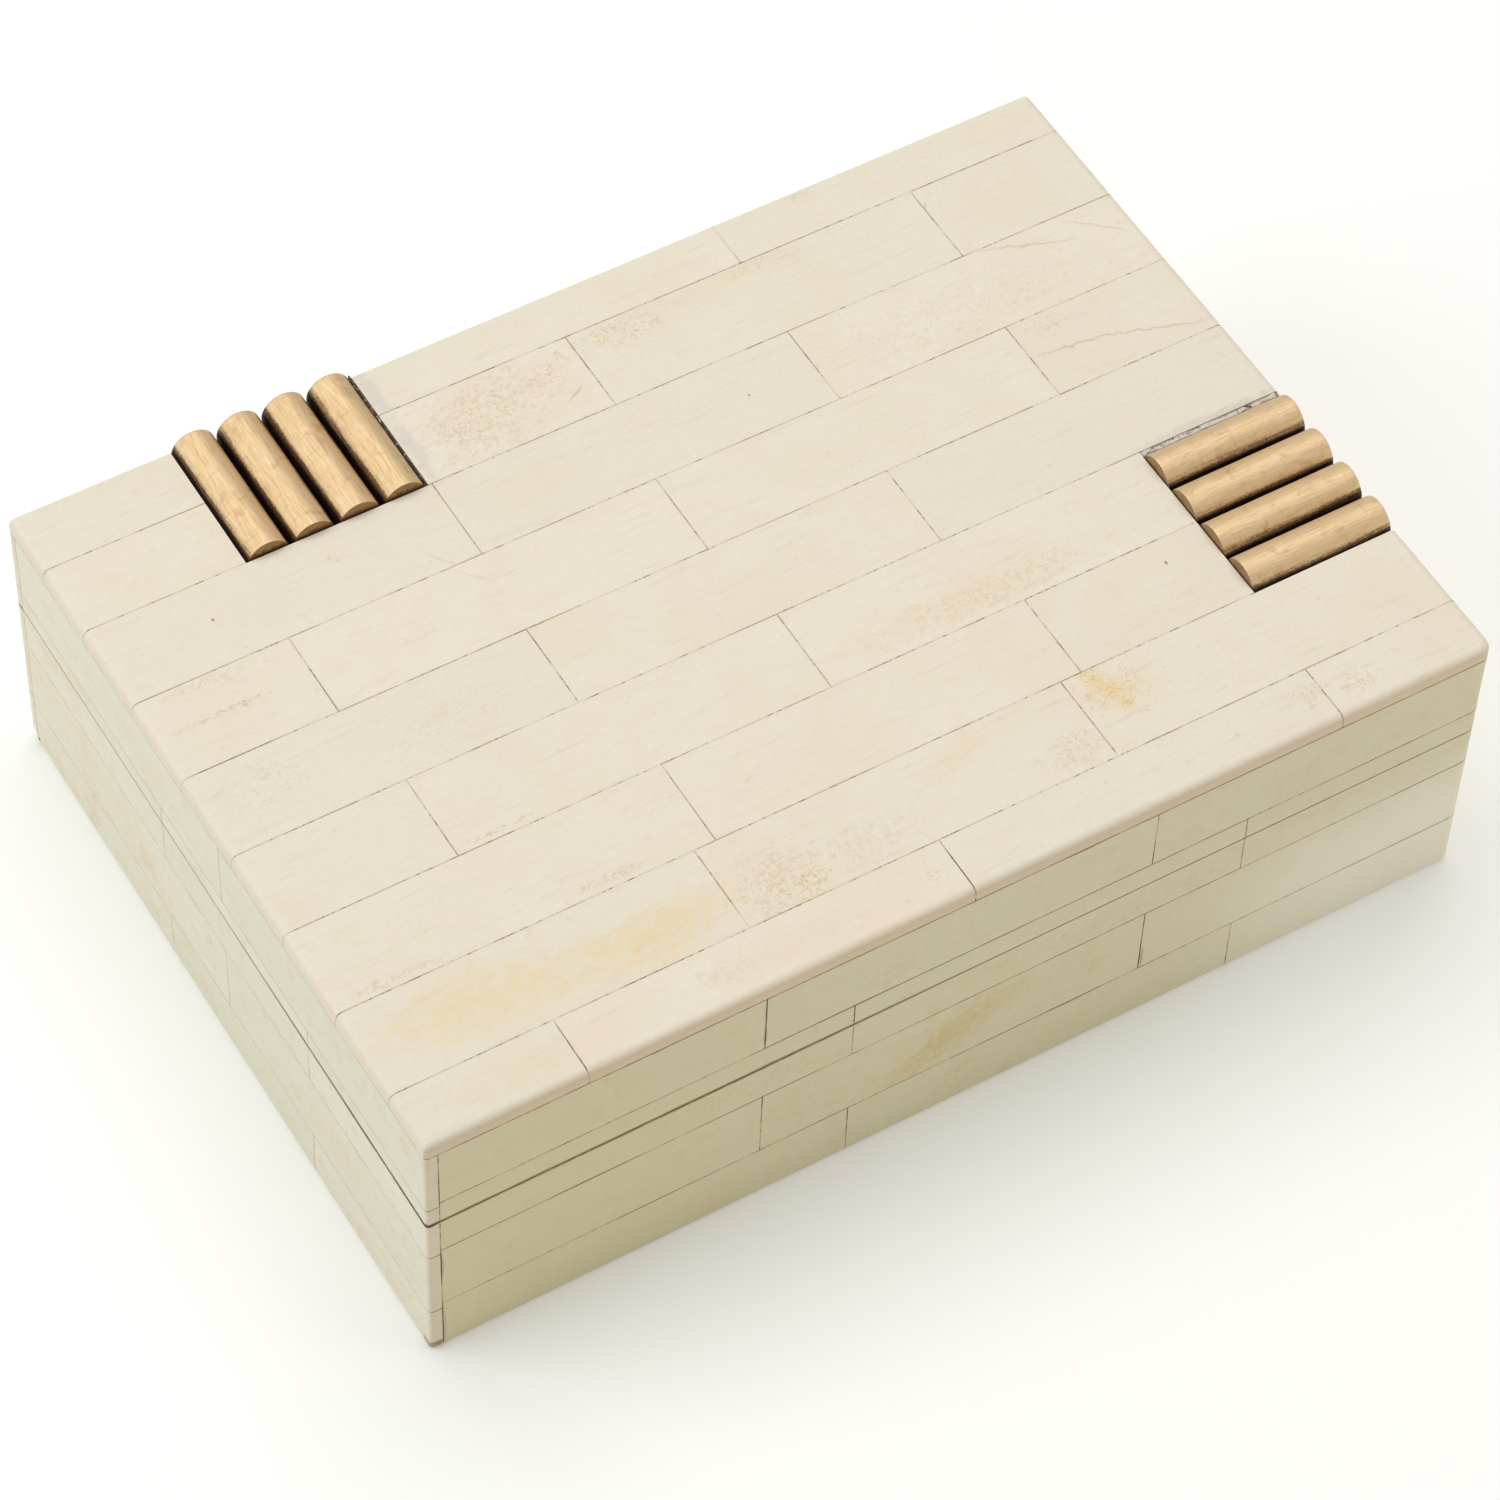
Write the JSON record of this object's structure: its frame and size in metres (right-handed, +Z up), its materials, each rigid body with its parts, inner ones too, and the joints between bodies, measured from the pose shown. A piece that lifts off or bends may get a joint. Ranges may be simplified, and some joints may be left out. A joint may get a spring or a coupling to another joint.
{
  "type": "bone inlaid jewellery box",
  "caption": "Hinged wooden box clad in running-bond bone slips, with half-round brass rods let into two edges of its lid.",
  "frame": {"origin": "centre of the felt's underside, where the box stands", "axes": "+X to the right along the hinge side, +Y from the front towards the hinges, +Z up; closed at rest"},
  "size_m": [0.178, 0.1307, 0.0541],
  "materials": {
    "bone_top": "satin polished bone, faint grain",
    "bone_walls": "satin polished bone, faint grain",
    "carcass_wood": "plain sanded softwood, stained brown",
    "rod_brass": "brushed satin with dark patina in the valleys",
    "hinge_brass": "satin",
    "velvet": "short pile velvet over card",
    "felt": "pressed felt"
  },
  "bodies": {
    "base": {"base_felt": "felt", "base_bottom_panel": "carcass_wood", "base_front_board": "carcass_wood", "base_right_board": "carcass_wood", "base_back_board": "carcass_wood", "base_left_board": "carcass_wood", "base_floor_lining": "velvet", "bone_base_front_row_1": "bone_walls", "bone_base_front_row_2": "bone_walls", "bone_base_front_row_3": "bone_walls", "bone_base_right_row_1": "bone_walls", "bone_base_right_row_2": "bone_walls", "bone_base_right_row_3": "bone_walls", "bone_base_back_row_1": "bone_walls", "bone_base_back_row_2": "bone_walls", "bone_base_back_row_3": "bone_walls", "bone_base_left_row_1": "bone_walls", "bone_base_left_row_2": "bone_walls", "bone_base_left_row_3": "bone_walls", "hinge_left_base_leaf": "hinge_brass", "hinge_right_base_leaf": "hinge_brass", "hinge_left_pin": "hinge_brass", "hinge_right_pin": "hinge_brass", "hinge_base_screws": "hinge_brass"},
    "lid": {"lid_top_panel": "carcass_wood", "lid_front_rail": "carcass_wood", "lid_right_rail": "carcass_wood", "lid_back_rail": "carcass_wood", "lid_left_rail": "carcass_wood", "lid_lining": "velvet", "bone_top_row_1": "bone_top", "bone_top_row_2": "bone_top", "bone_top_row_3": "bone_top", "bone_top_row_4": "bone_top", "bone_top_row_5": "bone_top", "bone_top_row_6": "bone_top", "bone_top_row_7": "bone_top", "bone_top_row_8": "bone_top", "bone_top_row_9": "bone_top", "bone_lid_front_row_1": "bone_walls", "bone_lid_front_row_2": "bone_walls", "bone_lid_right_row_1": "bone_walls", "bone_lid_right_row_2": "bone_walls", "bone_lid_back_row_1": "bone_walls", "bone_lid_back_row_2": "bone_walls", "bone_lid_left_row_1": "bone_walls", "bone_lid_left_row_2": "bone_walls", "brass_rod_back_1": "rod_brass", "brass_rod_back_2": "rod_brass", "brass_rod_back_3": "rod_brass", "brass_rod_back_4": "rod_brass", "brass_rod_end_1": "rod_brass", "brass_rod_end_2": "rod_brass", "brass_rod_end_3": "rod_brass", "brass_rod_end_4": "rod_brass", "hinge_left_lid_leaf": "hinge_brass", "hinge_right_lid_leaf": "hinge_brass", "hinge_lid_screws": "hinge_brass"}
  },
  "joints": [
    {"name": "lid_hinge", "type": "hinge", "parent": "base", "child": "lid", "pos_m": [0, 0.0644, 0.0326], "axis": [-1, 0, 0], "range_deg": [0, 100]}
  ]
}
